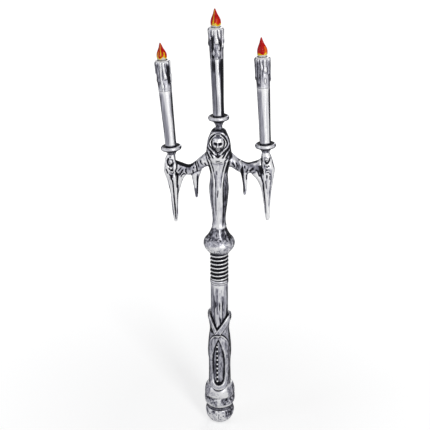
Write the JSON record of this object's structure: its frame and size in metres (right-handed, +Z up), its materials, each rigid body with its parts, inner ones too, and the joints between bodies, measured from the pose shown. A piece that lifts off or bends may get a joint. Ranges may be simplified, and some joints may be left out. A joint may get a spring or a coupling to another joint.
{
  "type": "candelabra",
  "caption": "Hand-held light-up candelabra: a hooded figure on a dagger-like battery handle holds wax-dripped candles with flame tips on its hands and hood.",
  "frame": {"origin": "centre of the small flat under the ball pommel", "axes": "+Z up the handle towards the flames, -Y the way the hooded figure looks, +X to the right as seen by someone facing the figure"},
  "size_m": [0.1572, 0.0446, 0.6098],
  "materials": {
    "silver_plastic": "silver paint with a black wash left in the recesses",
    "candle_plastic": "silver paint with dark streaks down the wax",
    "flame_plastic": "translucent red with yellow streaks",
    "black_plastic": "plain moulded black",
    "spring_steel": "nickel-plated contact strip",
    "screw_steel": "zinc-plated",
    "cell_jacket": "plain jacket",
    "wire_jacket": "red insulation",
    "led_resin": "clear resin lamp"
  },
  "bodies": {
    "handle_and_figure": {"pommel_drum": "silver_plastic", "grip_front": "silver_plastic", "grip_back": "silver_plastic", "battery_tube": "black_plastic", "cell_lower": "cell_jacket", "cell_upper": "cell_jacket", "top_contact": "spring_steel", "contact_strip": "spring_steel", "handle_tube": "silver_plastic", "switch_body": "black_plastic", "ring_collar": "silver_plastic", "knob": "silver_plastic", "feed_lead": "wire_jacket", "main_lead": "wire_jacket", "return_lead": "wire_jacket", "figure_front": "silver_plastic", "figure_back": "silver_plastic", "splice_sleeve": "black_plastic", "screw_chest_left": "screw_steel", "screw_chest_right": "screw_steel", "screw_hip_left": "screw_steel", "screw_hip_right": "screw_steel", "screw_sleeve_left": "screw_steel", "screw_sleeve_right": "screw_steel", "screw_grip": "screw_steel", "cup_left": "silver_plastic", "candle_left": "candle_plastic", "drip_head_left": "candle_plastic", "flame_left": "flame_plastic", "led_left": "led_resin", "led_seat_left": "black_plastic", "lead_left": "wire_jacket", "cup_centre": "silver_plastic", "candle_centre": "candle_plastic", "drip_head_centre": "candle_plastic", "flame_centre": "flame_plastic", "led_centre": "led_resin", "led_seat_centre": "black_plastic", "lead_centre": "wire_jacket", "cup_right": "silver_plastic", "candle_right": "candle_plastic", "drip_head_right": "candle_plastic", "flame_right": "flame_plastic", "led_right": "led_resin", "led_seat_right": "black_plastic", "lead_right": "wire_jacket"},
    "cap_carrier": {"cap_contact": "spring_steel", "cap_spring": "spring_steel"},
    "battery_cap": {"pommel_cap": "silver_plastic"},
    "button": {"switch_button": "black_plastic"}
  },
  "joints": [
    {"name": "cap_travel", "type": "slide", "parent": "handle_and_figure", "child": "cap_carrier", "axis": [0, 0, -1], "range_m": [0, 0.012]},
    {"name": "cap_screw", "type": "hinge", "parent": "cap_carrier", "child": "battery_cap", "pos_m": [0, 0, 0.03], "axis": [0, 0, -1], "range_deg": [0, 1440]},
    {"name": "button_press", "type": "slide", "parent": "handle_and_figure", "child": "button", "axis": [0, -1, 0], "range_m": [0, 0.0012], "stiffness_N_per_m": 800}
  ],
  "couplings": [
    {"joint": "cap_screw", "follows": "cap_travel", "rad_per_m": 2094.4}
  ]
}
